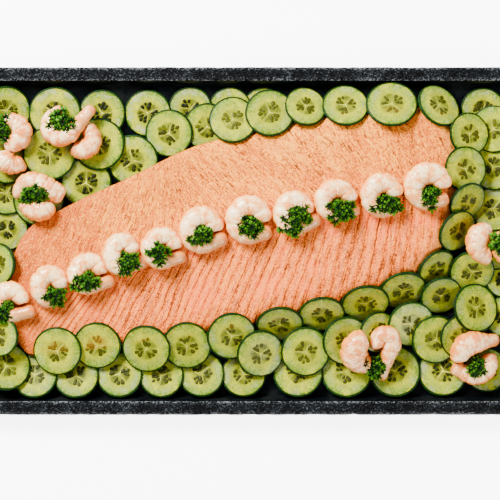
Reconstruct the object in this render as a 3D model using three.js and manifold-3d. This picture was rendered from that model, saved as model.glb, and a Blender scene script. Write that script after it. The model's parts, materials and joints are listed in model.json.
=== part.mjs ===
// A poached side of salmon on its buffet tray, bordered with cucumber slices and dressed with shrimps.
// Millimetres, +X along the tray, +Y towards its back edge, +Z up, origin under the middle of the tray.
import * as THREE from 'three';
import { mergeVertices } from 'three/addons/utils/BufferGeometryUtils.js';
import Module from 'manifold-3d';

const wasm = await Module();
wasm.setup();

const air = 0.35; // clearance between two pieces that rest on one another
const bite = 0.9; // how far slices of one joined layer press into each other
const tray = {
  length: 530, width: 325, height: 19, floor: 5, rim: 12.5, wall: 5, corner: 26, foot: 12, lip: 5,
};
const salmon = {
  lift: tray.floor + air, overhang: 9, undercut: 13, tail: 14, body: 31, belly: 0.2, edge: 17, around: 56,
};
const slice = { thickness: 3, sides: 16, steepest: 44 };
const shrimp = { girth: 8.9, bend: 12.7, sides: 7, steps: 9, cap: 0.09, tip: 0.76 };

const slate = new THREE.MeshStandardMaterial({ color: '#26282c', roughness: 0.6, metalness: 0 });
const flesh = new THREE.MeshStandardMaterial({ color: '#eba27c', roughness: 0.5, metalness: 0 });
const cucumber = new THREE.MeshStandardMaterial({ color: '#a9bd55', roughness: 0.3, metalness: 0 });
const shellfish = new THREE.MeshStandardMaterial({ color: '#f3d9c8', roughness: 0.35, metalness: 0 });

const platter = new THREE.Group();

// ---------------------------------------------------------------- closed bodies

// A closed body through rings of equal point count, its two ends closed by fans about their middles.
function loft(rings) {
  const count = rings[0].length;
  const points = rings.flat();
  const faces = [];
  for (let ring = 0; ring + 1 < rings.length; ring += 1) {
    for (let i = 0; i < count; i += 1) {
      const a = ring * count + i;
      const b = ring * count + ((i + 1) % count);
      faces.push(a, b, b + count, a, b + count, a + count);
    }
  }
  for (const [start, flip] of [[0, true], [(rings.length - 1) * count, false]]) {
    const middle = new THREE.Vector3();
    for (let i = 0; i < count; i += 1) {
      middle.addScaledVector(points[start + i], 1 / count);
    }
    points.push(middle);
    for (let i = 0; i < count; i += 1) {
      const a = start + i;
      const b = start + ((i + 1) % count);
      faces.push(...(flip ? [b, a, points.length - 1] : [a, b, points.length - 1]));
    }
  }
  return body(points, faces);
}

// A geometry whose faces point outwards, whichever way round its rings were given.
function body(points, faces) {
  let volume = 0;
  for (let i = 0; i < faces.length; i += 3) {
    const [a, b, c] = faces.slice(i, i + 3).map((k) => points[k]);
    volume += a.dot(new THREE.Vector3().crossVectors(b, c));
  }
  const outward = volume > 0 ? faces : faces.slice().reverse();
  const geometry = new THREE.BufferGeometry().setFromPoints(points);
  geometry.setIndex(outward);
  return geometry;
}

function smoothstep(low, high, x) {
  return THREE.MathUtils.smoothstep(x, low, high);
}

// A repeatable number from -1 to 1 for the k-th piece.
function uneven(k) {
  const wave = Math.sin(k * 12.9898 + 4.1) * 43758.5453;
  return 2 * (wave - Math.floor(wave)) - 1;
}

// ---------------------------------------------------------------- what lies below

// The highest solid above each spot of the tray, on a grid of 1 mm cells.
class Pile {
  constructor() {
    this.wide = tray.length + 40;
    this.deep = tray.width + 40;
    this.heights = new Float32Array(this.wide * this.deep).fill(-Infinity);
  }

  add(geometry) {
    const place = geometry.attributes.position;
    const index = geometry.index ? geometry.index.array : [...Array(place.count).keys()];
    const corner = [new THREE.Vector3(), new THREE.Vector3(), new THREE.Vector3()];
    const left = -this.wide / 2;
    const front = -this.deep / 2;
    for (let i = 0; i < index.length; i += 3) {
      corner.forEach((point, k) => point.fromBufferAttribute(place, index[i + k]));
      const [a, b, c] = corner;
      const turn = (b.x - a.x) * (c.y - a.y) - (b.y - a.y) * (c.x - a.x);
      if (Math.abs(turn) < 1e-6) {
        continue;
      }
      const xs = corner.map((point) => point.x);
      const ys = corner.map((point) => point.y);
      for (let x = Math.floor(Math.min(...xs)); x <= Math.max(...xs); x += 1) {
        for (let y = Math.floor(Math.min(...ys)); y <= Math.max(...ys); y += 1) {
          const u = ((x - a.x) * (c.y - a.y) - (y - a.y) * (c.x - a.x)) / turn;
          const v = ((b.x - a.x) * (y - a.y) - (b.y - a.y) * (x - a.x)) / turn;
          if (u < 0 || v < 0 || u + v > 1) {
            continue;
          }
          const cell = Math.round(x - left) * this.deep + Math.round(y - front);
          const height = a.z + u * (b.z - a.z) + v * (c.z - a.z);
          this.heights[cell] = Math.max(this.heights[cell], height);
        }
      }
    }
  }

  // The highest point within about a cell of this spot.
  top(x, y) {
    const column = Math.round(x + this.wide / 2);
    const row = Math.round(y + this.deep / 2);
    let height = -Infinity;
    for (let i = column - 1; i <= column + 1; i += 1) {
      for (let j = row - 1; j <= row + 1; j += 1) {
        height = Math.max(height, this.heights[i * this.deep + j]);
      }
    }
    return height;
  }
}

// Lets a piece settle over (x, y): of all leans, the one in which its middle comes lowest. The probes are
// points on its underside and rim, from its middle. support gives the height that each spot holds it up at.
function settle(probes, x, y, support, steepest) {
  const up = new THREE.Vector3(0, 0, 1);
  const turn = new THREE.Quaternion();
  const probe = new THREE.Vector3();
  const lean = (east, north) => {
    const normal = new THREE.Vector3(-east, -north, 1).normalize();
    turn.setFromUnitVectors(up, normal);
    let height = -Infinity;
    for (const point of probes) {
      probe.copy(point).applyQuaternion(turn);
      height = Math.max(height, support(x + probe.x, y + probe.y) - probe.z);
    }
    return height;
  };
  let best = { east: 0, north: 0, height: lean(0, 0) };
  const attempt = (east, north) => {
    if (Math.hypot(east, north) > Math.tan(THREE.MathUtils.degToRad(steepest))) {
      return false;
    }
    const height = lean(east, north);
    const better = height < best.height - 0.02;
    if (better) {
      best = { east, north, height };
    }
    return better;
  };
  for (let degrees = 5; degrees <= steepest; degrees += 5) {
    for (let way = 0; way < 16; way += 1) {
      const slope = Math.tan(THREE.MathUtils.degToRad(degrees));
      attempt(slope * Math.cos((way * Math.PI) / 8), slope * Math.sin((way * Math.PI) / 8));
    }
  }
  for (let step = 0.06; step > 0.003; step /= 2) {
    let moved = true;
    while (moved) {
      const { east, north } = best;
      moved = attempt(east + step, north);
      moved = attempt(east - step, north) || moved;
      moved = attempt(east, north + step) || moved;
      moved = attempt(east, north - step) || moved;
    }
  }
  const normal = new THREE.Vector3(-best.east, -best.north, 1).normalize();
  turn.setFromUnitVectors(up, normal);
  return new THREE.Matrix4().makeRotationFromQuaternion(turn).setPosition(x, y, best.height);
}

const pile = new Pile();

// Puts a finished piece on the platter, where it holds up whatever is laid next.
function serve(name, geometry, material) {
  const mesh = new THREE.Mesh(geometry, material);
  mesh.name = name;
  platter.add(mesh);
  pile.add(geometry);
}

// ---------------------------------------------------------------- tray

// A rounded oblong, inset from the tray's outer edge, at height z.
function oblong(inset, z) {
  const steps = 4;
  const radius = Math.max(tray.corner - inset, 4);
  const points = [];
  for (let quarter = 0; quarter < 4; quarter += 1) {
    const along = quarter === 0 || quarter === 3 ? 1 : -1;
    const across = quarter < 2 ? 1 : -1;
    for (let i = 0; i <= steps; i += 1) {
      const angle = ((quarter + i / steps) * Math.PI) / 2;
      const x = along * (tray.length / 2 - inset - radius) + radius * Math.cos(angle);
      const y = across * (tray.width / 2 - inset - radius) + radius * Math.sin(angle);
      points.push(new THREE.Vector3(x, y, z));
    }
  }
  return points;
}

function trayBody() {
  return loft([
    oblong(tray.foot, 0),
    oblong(1, tray.height - tray.lip),
    oblong(0, tray.height - tray.lip + 1),
    oblong(0, tray.height - 1),
    oblong(1, tray.height),
    oblong(tray.rim, tray.height),
    oblong(tray.rim + tray.wall, tray.floor),
  ]);
}

serve('tray', trayBody(), slate);

// ---------------------------------------------------------------- cucumber slices

// Each layer lists its slices in the order they are laid, as [x, y, radius] of the cut face.
const bedLayers = {
  cucumber_back_row: [
    [13, 124, 20.5], [-19, 124, 20.5], [-56, 124, 20.8], [-96, 120, 22.2], [-139, 120, 22.2],
    [-228, 122, 23.2], [-183, 120, 24.8], [-40, 107, 22.4], [-76, 101, 22.4],
  ],
  cucumber_left_bed: [
    [-228, 11, 20], [-228, 45, 20.6], [-228, 75, 21.6], [-110, 75.5, 24.2], [-154, 54.5, 24.2],
    [-198, 38, 24.2], [-142, 91, 24.6], [-188, 82, 25.2],
  ],
  cucumber_right_column: [
    [229, -6, 21.4], [228, 30, 21.2], [228, 69, 21.6], [219, 123, 21.2], [228, 105, 22.4],
  ],
  cucumber_front_right: [
    [222, -121, 21], [181, -122, 23.4], [136, -122, 24], [90.5, -122.5, 24], [45, -122.5, 23.8],
  ],
  cucumber_front_left: [
    [-6, -125, 21], [-45.5, -124.5, 21.6], [-83, -126, 20.8], [-122.5, -125, 21.6], [-163, -126, 21.3],
    [-202, -125.5, 21.6], [-228, -117, 22.8],
  ],
};

const borderSlices = [
  // along the back edge of the fish
  [-16, 113.5, 22.4], [18.5, 120, 23], [52, 126, 19.6], [89, 127, 21.6], [132, 128, 24.2], [177, 127, 22],
  // along its front edge, at the tail
  [-143, -98, 22.4], [-59, -98, 23], [-180, -103, 23], [-97, -101, 23],
  // up its right-hand side
  [205, 100, 20.2], [201, 67, 21.4], [203, 36, 19.4], [194, 9, 20.6], [175, -26, 19.4],
  // along its front edge, at the thick end
  [143, -47, 22.8], [108, -59, 22.8], [67, -69, 21.8], [28, -78.5, 22], [-17, -89, 23.2],
  // the course that overlaps them
  [10, -105.5, 22.4], [52, -103.5, 23.2], [90.5, -93.5, 23], [121.5, -86, 19.8], [208, -29, 21.4],
  [179, -51.5, 20], [151, -78, 22.2], [174, -92.5, 22.8], [198, -90, 20.8], [211.5, -62.5, 23],
];

// Points over the underside and the rim of a slice, from the middle of its upper face.
function sliceProbes(radius) {
  const probes = [];
  const circle = (reach, z) => {
    for (let i = 0; i < 36; i += 1) {
      const angle = (i * Math.PI) / 18;
      probes.push(new THREE.Vector3(reach * Math.cos(angle), reach * Math.sin(angle), z));
    }
  };
  for (let ring = 1; ring <= 9; ring += 1) {
    circle((radius * ring) / 9, -slice.thickness);
  }
  circle(radius, -slice.thickness / 2);
  circle(radius, 0);
  return probes;
}

// A slice as a faceted disc whose upper face is centred on the origin, moved to its resting place.
function sliceBody(radius, place) {
  const disc = new THREE.CylinderGeometry(radius, radius, slice.thickness, slice.sides, 1);
  disc.rotateX(Math.PI / 2);
  disc.translate(0, 0, -slice.thickness / 2);
  disc.applyMatrix4(place);
  disc.deleteAttribute('normal');
  disc.deleteAttribute('uv');
  return mergeVertices(disc, 1e-3);
}

function toSolid(geometry) {
  const vertProperties = new Float32Array(geometry.attributes.position.array);
  const triVerts = new Uint32Array(geometry.index.array);
  return new wasm.Manifold(new wasm.Mesh({ numProp: 3, vertProperties, triVerts }));
}

function toGeometry(solid) {
  const mesh = solid.getMesh();
  const geometry = new THREE.BufferGeometry();
  geometry.setAttribute('position', new THREE.BufferAttribute(mesh.vertProperties, 3));
  geometry.setIndex([...mesh.triVerts]);
  return mergeVertices(geometry, 1e-3);
}

// Slices that lie straight on the tray in one layer, pressed together where they touch.
for (const [name, places] of Object.entries(bedLayers)) {
  const layer = new Pile();
  let solid = null;
  for (const [x, y, radius] of places) {
    const support = (px, py) => Math.max(pile.top(px, py) + air, layer.top(px, py) - bite);
    const geometry = sliceBody(radius, settle(sliceProbes(radius), x, y, support, slice.steepest));
    layer.add(geometry);
    solid = solid ? solid.add(toSolid(geometry)) : toSolid(geometry);
  }
  serve(name, toGeometry(solid), cucumber);
}

// ---------------------------------------------------------------- salmon

// The outline seen from above, from the tail along the back edge and home along the front edge.
const salmonOutline = [
  [-225, -34], [-210, 9], [-168, 34], [-112, 60], [-56, 87], [0, 102], [71, 117], [130, 125], [178, 120],
  [195, 92], [193, 30], [170, -20], [121, -47], [46, -68], [-37, -86], [-121, -97], [-180, -104], [-205, -107],
  [-217, -94], [-225, -68],
];
const backbone = [new THREE.Vector3(-150, -42, 0), new THREE.Vector3(120, 42, 0)];

function salmonBody() {
  const points = salmonOutline.map(([x, y]) => new THREE.Vector3(x, y, 0));
  const edge = new THREE.CatmullRomCurve3(points, true, 'centripetal');
  const outline = edge.getSpacedPoints(salmon.around).slice(1);
  const spine = new THREE.Line3(...backbone);
  const feet = outline.map((point) => spine.closestPointToPoint(point, true, new THREE.Vector3()));
  const thickness = (x, behind) => {
    const middle = salmon.tail + (salmon.body - salmon.tail) * smoothstep(-225, 140, x);
    return middle * (1 - salmon.belly * smoothstep(0, 75, behind));
  };
  const ring = (move, level) => outline.map((point, i) => {
    const inward = new THREE.Vector3().subVectors(feet[i], point);
    const spot = point.clone().addScaledVector(inward, move(inward.length()));
    spot.z = salmon.lift + level(thickness(spot.x, spot.y - feet[i].y));
    return spot;
  });
  const flank = (inset) => ring(
    (reach) => inset / reach,
    (full) => {
      const rounding = Math.sqrt(1 - (1 - inset / salmon.edge) ** 2);
      return salmon.overhang + 1 + (full * 0.97 - salmon.overhang - 1) * rounding;
    },
  );
  return loft([
    ring((reach) => (salmon.undercut + 2) / reach, () => 0),
    ring((reach) => salmon.undercut / reach, () => salmon.overhang - 1),
    ...[0, 1.2, 5, 10.5, salmon.edge].map(flank),
    ring((reach) => salmon.edge / reach + 0.45 * (1 - salmon.edge / reach), (full) => full * 0.985),
    ring((reach) => salmon.edge / reach + 0.85 * (1 - salmon.edge / reach), (full) => full),
  ]);
}

serve('salmon', salmonBody(), flesh);

borderSlices.forEach(([x, y, radius], k) => {
  const support = (px, py) => pile.top(px, py) + air;
  const geometry = sliceBody(radius, settle(sliceProbes(radius), x, y, support, slice.steepest));
  serve(`cucumber_slice_${k + 1}`, geometry, cucumber);
});

// ---------------------------------------------------------------- shrimps

// A peeled shrimp lies curled on its side, from its thick cut end to its tail: a straight lead, an arc of
// radius bend that starts in the direction turn and runs on by sweep (positive anticlockwise), and a straight
// tail. narrow squeezes the curl from side to side, and tip is the tail's share of the girth.
function shrimpSpine(kind, share) {
  const { bend, turn, sweep, lead = 0, tail = 0, narrow = 1 } = kind;
  const arc = Math.abs(THREE.MathUtils.degToRad(sweep)) * bend;
  const along = share * (lead + arc + tail) - lead;
  const curled = THREE.MathUtils.clamp(along, 0, arc);
  const angle = THREE.MathUtils.degToRad(turn + (sweep * curled) / arc);
  const straight = (along - curled) * Math.sign(sweep);
  const x = bend * Math.cos(angle) - straight * Math.sin(angle);
  const y = bend * Math.sin(angle) + straight * Math.cos(angle);
  return new THREE.Vector3(narrow * x, y, 0);
}

// A point on its skin: share runs from 0 to 1 along it, and a little past each end for the rounded caps.
function shrimpSkin(kind, share, around) {
  const { girth, tip = shrimp.tip } = kind;
  const inner = THREE.MathUtils.clamp(share, 0, 1);
  const step = 0.01;
  const centre = shrimpSpine(kind, inner);
  const ahead = shrimpSpine(kind, inner + step);
  const forward = ahead.sub(shrimpSpine(kind, inner - step)).normalize();
  const side = new THREE.Vector3(-forward.y, forward.x, 0);
  const swell = 0.84 + 0.16 * smoothstep(0, 0.22, inner);
  const thick = girth * swell * (1 - (1 - tip) * smoothstep(0.35, 1, inner));
  const past = (share - inner) / shrimp.cap;
  const round = Math.sqrt(1 - 0.6 * past * past);
  centre.addScaledVector(forward, 0.45 * past * thick);
  centre.addScaledVector(side, thick * round * Math.cos(around));
  centre.z = thick * (0.92 + round * Math.sin(around) * (around > Math.PI ? 0.92 : 1));
  return centre;
}

function shrimpRings(kind, steps, sides) {
  const shares = [-shrimp.cap];
  for (let i = 0; i <= steps; i += 1) {
    shares.push(i / steps);
  }
  shares.push(1 + shrimp.cap);
  return shares.map((share) => {
    const ring = [];
    for (let i = 0; i < sides; i += 1) {
      ring.push(shrimpSkin(kind, share, ((i + 0.5) / sides) * 2 * Math.PI));
    }
    return ring;
  });
}

function serveShrimp(name, kind, steepest) {
  const [x, y] = kind.at;
  const probes = shrimpRings(kind, 22, 20).flat().filter((point) => point.z < 1.1 * kind.girth);
  const place = settle(probes, x, y, (px, py) => pile.top(px, py) + air, steepest);
  const geometry = loft(shrimpRings(kind, shrimp.steps, shrimp.sides));
  geometry.applyMatrix4(place);
  serve(name, geometry, shellfish);
}

// The row on the fish, from the tail to the thick end: [x, y, height across, narrow, tail].
const shrimpRow = [
  [-222, -58, 42, 0.92, 20], [-186, -43.5, 44, 0.8, 10], [-150.5, -32, 42, 0.94, 20], [-119.5, -14.5, 43.5, 0.8, 23],
  [-82.5, -8.5, 42.5, 0.96, 17.5], [-44, 9, 48, 0.88, 19], [0.5, 18, 49.5, 0.91, 15.5], [41.5, 24.5, 45.5, 0.86, 21],
  [80, 36, 42.5, 1.04, 15], [123, 41, 45, 0.93, 12], [165.5, 49.5, 48, 1, 12],
];
const rowSpan = 2 * (shrimp.bend + shrimp.girth);
shrimpRow.forEach(([x, y, span, narrow, tail], k) => {
  const size = span / rowSpan;
  serveShrimp(`shrimp_${k + 1}`, {
    at: [x, y],
    bend: shrimp.bend * size,
    girth: shrimp.girth * size,
    narrow,
    turn: 15 + 3 * uneven(k),
    sweep: 273 + 4 * uneven(k + 20),
    tail,
    tip: 0.62,
  }, 12);
});

// Pairs of shrimps as garnish on the slices.
const garnish = {
  garnish_back_left_1: { at: [-223, 103], bend: 9.8, girth: 8.8, turn: -75, sweep: 180, lead: 6, tail: 8 },
  garnish_back_left_2: { at: [-220, 83.5], bend: 12, girth: 8.8, turn: 190, sweep: 110 },
  garnish_back_1: { at: [-157, 95], bend: 10.5, girth: 8.2, turn: -120, sweep: 180, tip: 0.8 },
  garnish_back_2: { at: [-173, 106], bend: 11.5, girth: 8.8, turn: 98, sweep: 225, tail: 29, tip: 0.5 },
  garnish_left_1: { at: [-204, 46], bend: 10.5, girth: 9, turn: 62, sweep: 130, lead: 24 },
  garnish_left_2: { at: [-199, 35], bend: 11, girth: 9.2, turn: -32, sweep: -125 },
  garnish_front_1: { at: [107.5, -100], bend: 13, girth: 10.4, turn: 112, sweep: 166, tip: 0.7 },
  garnish_front_2: { at: [125.8, -93], bend: 7.2, girth: 7.1, turn: 205, sweep: -223, tail: 34, tip: 0.62 },
  garnish_front_right_1: { at: [205, -104], bend: 12, girth: 9.6, turn: 188, sweep: -98, tail: 25, tip: 0.5 },
  garnish_front_right_2: { at: [209, -113], bend: 14.5, girth: 8, turn: 12, sweep: -132, tail: 12 },
  garnish_right_1: { at: [218, -5], bend: 11, girth: 9.8, turn: 90, sweep: 178 },
  garnish_right_2: { at: [240, -8], bend: 10.5, girth: 8.2, turn: 90, sweep: 180 },
};
for (const [name, kind] of Object.entries(garnish)) {
  serveShrimp(name, kind, 24);
}

export default platter;
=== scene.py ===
# A poached side of salmon on a slate-look buffet tray, bordered with cucumber and dressed with shrimps.
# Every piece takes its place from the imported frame. Each dictionary holds what a maker may change:
# lengths in mm, or in metres for the studio, and shares.
import itertools
import json
import math

import bmesh
import bpy
import numpy as np
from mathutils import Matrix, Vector
from mathutils.bvhtree import BVHTree

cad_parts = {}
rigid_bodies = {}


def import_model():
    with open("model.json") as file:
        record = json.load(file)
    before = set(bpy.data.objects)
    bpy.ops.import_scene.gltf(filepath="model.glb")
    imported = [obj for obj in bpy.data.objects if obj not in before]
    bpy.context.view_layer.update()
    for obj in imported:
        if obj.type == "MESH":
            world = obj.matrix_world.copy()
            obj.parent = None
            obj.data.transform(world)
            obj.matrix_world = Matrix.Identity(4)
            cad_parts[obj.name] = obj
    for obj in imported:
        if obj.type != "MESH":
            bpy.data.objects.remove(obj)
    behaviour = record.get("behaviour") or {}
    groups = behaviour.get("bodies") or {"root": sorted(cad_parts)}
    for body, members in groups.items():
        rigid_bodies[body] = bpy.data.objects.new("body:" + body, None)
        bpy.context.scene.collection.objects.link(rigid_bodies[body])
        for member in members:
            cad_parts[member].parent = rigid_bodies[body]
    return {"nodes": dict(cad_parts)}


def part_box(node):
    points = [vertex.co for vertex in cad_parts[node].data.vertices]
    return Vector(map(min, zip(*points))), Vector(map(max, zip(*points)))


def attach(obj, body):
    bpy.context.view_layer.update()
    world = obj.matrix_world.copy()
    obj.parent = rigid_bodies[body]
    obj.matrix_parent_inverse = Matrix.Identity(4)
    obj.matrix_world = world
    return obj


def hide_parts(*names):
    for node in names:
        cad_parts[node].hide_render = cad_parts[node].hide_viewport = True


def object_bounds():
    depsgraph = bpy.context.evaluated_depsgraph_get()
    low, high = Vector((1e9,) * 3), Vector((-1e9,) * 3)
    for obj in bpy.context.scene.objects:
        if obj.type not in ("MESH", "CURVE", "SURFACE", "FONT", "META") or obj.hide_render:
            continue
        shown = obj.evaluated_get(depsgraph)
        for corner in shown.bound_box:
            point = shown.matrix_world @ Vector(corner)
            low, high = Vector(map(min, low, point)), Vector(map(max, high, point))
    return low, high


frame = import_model()
cadLow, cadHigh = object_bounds()
mm = 0.001
nodeNames = sorted(frame["nodes"])


# numbers over whole arrays of points


def ease(value, low, high):
    part = np.clip((value - low) / (high - low), 0, 1)
    return part * part * (3 - 2 * part)


def bell(value, width):
    return np.exp(-(value / width) ** 2)


primes = (374761393, 668265263, 715225739, 1274126177)


def cloud(points, size, seed=0):  # smooth noise from -1 to 1, in lumps of about this size
    spot = points / size + 7.31 * seed
    cell = np.floor(spot).astype(np.int64)
    part = spot - cell
    part = part * part * (3 - 2 * part)
    total = np.zeros(len(spot))
    for corner in itertools.product((0, 1), repeat=3):
        key = (cell + corner) @ np.array(primes[:3])
        key = (key ^ (key >> 13)) * primes[3]
        key = (key ^ (key >> 16)) & 0xFFFF
        weight = np.prod(np.where(np.array(corner, bool), part, 1 - part), axis=1)
        total += weight * (key / 0x7FFF - 1)
    return total


def clouds(points, *layers):  # the sum of such noises, each given as its weight, size and seed
    return sum(weight * cloud(points, size, seed) for weight, size, seed in layers)


def unit(vectors):
    return vectors / np.linalg.norm(vectors, axis=-1, keepdims=True)


def ringWays(count):  # directions evenly round a circle
    angles = np.arange(count) / count * math.tau
    return np.column_stack([np.cos(angles), np.sin(angles)])


def turned(angle):  # turns a direction of the plane by this angle
    return np.array([[math.cos(angle), -math.sin(angle)], [math.sin(angle), math.cos(angle)]])


def lengthsAlong(rings):  # how far each ring lies from the first
    return np.concatenate([[0], np.cumsum(np.linalg.norm(np.diff(rings, axis=0), axis=2).mean(axis=1))])


# meshes


def loft(rings):  # a closed skin through rings of points, where a ring of one point is a pole
    starts = np.cumsum([0] + [len(ring) for ring in rings]).tolist()
    faces = []
    for a, b, ring, after in zip(starts, starts[1:], rings, rings[1:]):
        count = max(len(ring), len(after))
        for i in range(count):
            j = (i + 1) % count
            corners = (a + i % len(ring), a + j % len(ring), b + j % len(after), b + i % len(after))
            faces.append(tuple(dict.fromkeys(corners)))
    points = np.vstack(rings)
    volume = sum(np.dot(points[f[0]], np.cross(points[f[1]], points[f[2]])) for f in faces)
    if volume < 0:
        faces = [face[::-1] for face in faces]
    return points, faces


def newMesh(name, points, faces, values=None):
    mesh = bpy.data.meshes.new(name)
    mesh.from_pydata(np.asarray(points).tolist(), [], faces)
    for key, numbers in (values or {}).items():
        numbers = np.asarray(numbers, dtype=np.float32)
        kind, held = ("FLOAT", "value") if numbers.ndim == 1 else ("FLOAT_VECTOR", "vector")
        mesh.attributes.new(key, kind, "POINT").data.foreach_set(held, numbers.ravel())
    mesh.update()
    return mesh


def joined(parts):  # the points and faces of several meshes as one
    points, faces = [], []
    for spots, own in parts:
        faces.extend([int(i) + len(points) for i in face] for face in own)
        points.extend(spots)
    return points, faces


def rayTree(parts):  # the same meshes, made ready for looking straight down on them
    points, faces = joined(parts)
    return BVHTree.FromPolygons([Vector(point) for point in points], faces)


def newObject(name, data):
    made = bpy.data.objects.new(name, data)
    bpy.context.scene.collection.objects.link(made)
    return made


def setPiece(name, mesh, material, replaced=()):  # a finished piece on the platter's one body
    mesh.shade_smooth()
    if material:
        mesh.materials.clear()
        mesh.materials.append(material)
    piece = newObject(name, mesh)
    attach(piece, "root")
    if replaced:
        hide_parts(*replaced)


# materials


def hue(code):  # a colour as it looks on a screen, as the numbers that light is reckoned in
    parts = [int(code[k:k + 2], 16) / 255 for k in (1, 3, 5)]
    return tuple(p / 12.92 if p < 0.04045 else ((p + 0.055) / 1.055) ** 2.4 for p in parts) + (1,)


class Wire:  # one output in a material; sums and products of wires add Math nodes
    def __init__(self, paint, socket):
        self.paint = paint
        self.socket = socket

    def __add__(self, other):
        return self.paint.math("ADD", self, other)

    def __sub__(self, other):
        return self.paint.math("SUBTRACT", self, other)

    def __rsub__(self, other):
        return self.paint.math("SUBTRACT", other, self)

    def __mul__(self, other):
        return self.paint.math("MULTIPLY", self, other)

    __radd__ = __add__
    __rmul__ = __mul__

    def ease(self, low, high):
        sockets = {0: self, 1: low, 2: high, 3: 0.0, 4: 1.0}
        return self.paint.node("MapRange", sockets, interpolation_type="SMOOTHSTEP")


def addNode(tree, kind, sockets=None, **settings):
    made = tree.nodes.new(kind)
    for key, value in settings.items():
        setattr(made, key, value)
    for key, value in (sockets or {}).items():
        value = value.socket if isinstance(value, Wire) else value
        if isinstance(value, bpy.types.NodeSocket):
            tree.links.new(value, made.inputs[key])
        else:
            made.inputs[key].default_value = hue(value) if str(value).startswith("#") else value
    return made


class Paint:  # a material in the making; a colour is given by its code
    def __init__(self, name):
        self.material = bpy.data.materials.new(name)
        self.material.use_nodes = True
        self.tree = self.material.node_tree
        self.tree.nodes.clear()

    def node(self, kind, sockets=None, output=0, **settings):
        made = addNode(self.tree, "ShaderNode" + kind, sockets, **settings)
        return Wire(self, made.outputs[output]) if len(made.outputs) else None

    def place(self):
        return self.node("TexCoord", output=3)

    def value(self, name):
        return self.node("Attribute", output=2, attribute_name=name)

    def vector(self, name):
        return self.node("Attribute", output=1, attribute_name=name)

    def axis(self, vector, number):  # one of the three numbers of a vector or a colour
        return self.node("SeparateXYZ", {0: vector}, number)

    def combined(self, *numbers):
        return self.node("CombineXYZ", dict(enumerate(numbers)))

    def math(self, operation, *values):
        return self.node("Math", dict(enumerate(values)), operation=operation)

    def stretch(self, vector, factors):
        return self.node("VectorMath", {0: vector, 1: factors}, operation="MULTIPLY")

    def noise(self, vector, scale, detail, rough, warp=0.0):
        sockets = {"Vector": vector, "Scale": scale, "Detail": detail, "Roughness": rough, "Distortion": warp}
        return self.node("TexNoise", sockets)

    def ramp(self, value, stops):
        made = self.node("ValToRGB", {0: value})
        elements = made.socket.node.color_ramp.elements
        while len(elements) < len(stops):
            elements.new(0.5)
        for element, (place, code) in zip(elements, stops):
            element.position = place
            element.color = hue(code)
        return made

    def mix(self, share, first, second, way="MIX"):
        return self.node("Mix", {0: share, 6: first, 7: second}, output=2, data_type="RGBA", blend_type=way)

    def layered(self, color, *layers):  # each layer is how much of it shows, and its colour
        for share, code in layers:
            color = self.mix(share, color, code)
        return color

    def bump(self, height, distance, strength):
        return self.node("Bump", {"Height": height, "Distance": distance * mm, "Strength": strength})

    def done(self, **sockets):
        named = {key.replace("_", " "): value for key, value in sockets.items()}
        shader = self.node("BsdfPrincipled", named)
        self.node("OutputMaterial", {"Surface": shader})
        return self.material


# what the frame says


def cadTriangles(node):  # the corners and triangles of a node's solid, with its corners merged
    solid = bmesh.new()
    solid.from_mesh(frame["nodes"][node].data)
    bmesh.ops.remove_doubles(solid, verts=solid.verts, dist=0.01 * mm)
    points = np.array([v.co for v in solid.verts])
    triangles = np.array([[v.index for v in face.verts] for face in solid.faces])
    solid.free()
    return points, triangles


discLook = {
    "nearest": 0.06, "radii": (15, 30), "flat": 0.02, "least": 60, "corners": 5,
    "upward": 0.3, "alike": 0.95, "thinnest": 0.5,
}


def circleThrough(spots):  # the circle that passes through the most of these points of a plane
    look = discLook
    a, b, c = (spots[list(k)] for k in zip(*itertools.combinations(range(len(spots)), 3)))
    sides = np.stack([b - a, c - a], axis=1)
    keep = np.abs(np.linalg.det(sides)) > look["thinnest"] * mm * mm
    a, sides = a[keep], sides[keep]
    offset = np.linalg.solve(2 * sides, (sides ** 2).sum(axis=2, keepdims=True))[..., 0]
    middle, radius = a + offset, np.linalg.norm(offset, axis=1)
    off = np.abs(np.linalg.norm(spots[None] - middle[:, None], axis=2) - radius[:, None])
    least, most = (size * mm for size in look["radii"])
    hits = (off < look["nearest"] * mm).sum(1) * ((radius > least) & (radius < most))
    best = int(np.argmax(hits))
    return middle[best], radius[best], hits[best]


def sliceFrame(normal):
    east = unit(np.cross((0, 1, 0), normal))
    return east, np.cross(normal, east)


def sliceDiscs(node):  # each slice in a node, as the middle, radius and normal of its upper face
    look = discLook
    points, triangles = cadTriangles(node)
    a, b, c = (points[triangles[:, k]] for k in range(3))
    cross = np.cross(b - a, c - a)
    area = np.linalg.norm(cross, axis=1) / 2
    normals = cross / np.maximum(2 * area[:, None], 1e-12)
    free = normals[:, 2] > look["upward"]
    discs = []
    for k in np.argsort(-area):
        if not free[k]:
            continue
        flat = np.abs((points[triangles] - a[k]) @ normals[k]).max(1) < look["flat"] * mm
        face = free & flat & (normals @ normals[k] > look["alike"])
        free &= ~face
        if area[face].sum() < look["least"] * mm * mm:
            continue
        east, north = sliceFrame(normals[k])
        corners = points[np.unique(triangles[face])] - a[k]
        middle, radius, hits = circleThrough(corners @ np.array([east, north]).T)
        if hits >= look["corners"]:
            discs.append((a[k] + middle[0] * east + middle[1] * north, radius, normals[k]))
    return discs


def middleOf(node):  # the middle of a node seen from above, in mm
    low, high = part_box(node)
    return np.array([low.x + high.x, low.y + high.y]) / 2 / mm


down = Vector((0, 0, -1))


class Below:  # what lies straight below a spot: how far down it is, and what it is made of
    def __init__(self):
        nodes = [node for node in nodeNames if not node.startswith(("shrimp", "garnish"))]
        parts = [cadTriangles(node) for node in nodes]
        self.tree = rayTree(parts)
        self.owners = [node.split("_")[0] for node, part in zip(nodes, parts) for _ in part[1]]

    def look(self, spot):
        _, _, face, gap = self.tree.ray_cast(Vector(spot), down)
        return (1.0, "tray") if face is None else (gap, self.owners[face])


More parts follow.
